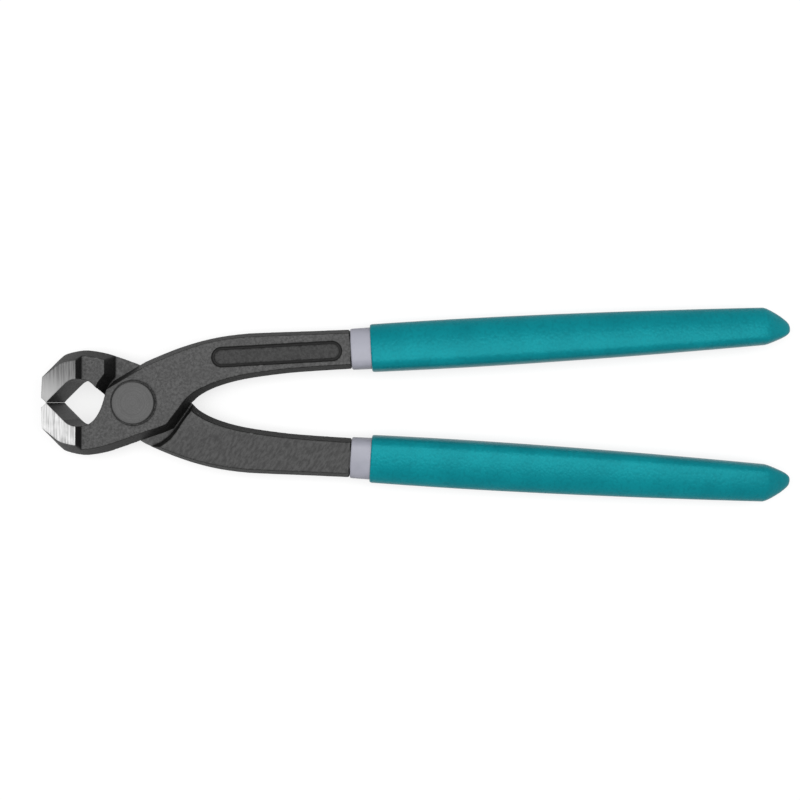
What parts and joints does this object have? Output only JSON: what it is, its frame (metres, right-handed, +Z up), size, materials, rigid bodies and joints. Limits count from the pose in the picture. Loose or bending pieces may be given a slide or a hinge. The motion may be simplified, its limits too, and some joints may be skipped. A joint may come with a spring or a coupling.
{
  "type": "tile nippers",
  "caption": "End-cutting nippers with broad tower jaws, a riveted lap joint, long curved steel handles and dipped two-layer vinyl grips with pointed ends.",
  "frame": {"origin": "under the middle of the closed tool's bounding box, on the flat sides of the jaws that it lies on", "axes": "+X from the jaws towards the grips, +Y across the tool in the plane it opens in, towards the front lever's handle, +Z up along the rivet"},
  "size_m": [0.25, 0.0656, 0.022],
  "materials": {
    "forged_steel": "blackened forging, ground bright on the jaws",
    "rivet_steel": "blackened, turned",
    "liner_vinyl": "satin dip coat",
    "sleeve_vinyl": "pebbled satin dip coat"
  },
  "bodies": {
    "front_half": {"front_lever": "forged_steel", "pivot_rivet": "rivet_steel", "front_grip_liner": "liner_vinyl", "front_grip_sleeve": "sleeve_vinyl"},
    "rear_half": {"rear_lever": "forged_steel", "rear_grip_liner": "liner_vinyl", "rear_grip_sleeve": "sleeve_vinyl"}
  },
  "joints": [
    {"name": "jaw_pivot", "type": "hinge", "parent": "front_half", "child": "rear_half", "pos_m": [-0.0956, 0, 0.011], "axis": [0, 0, -1], "range_deg": [0, 30]}
  ]
}
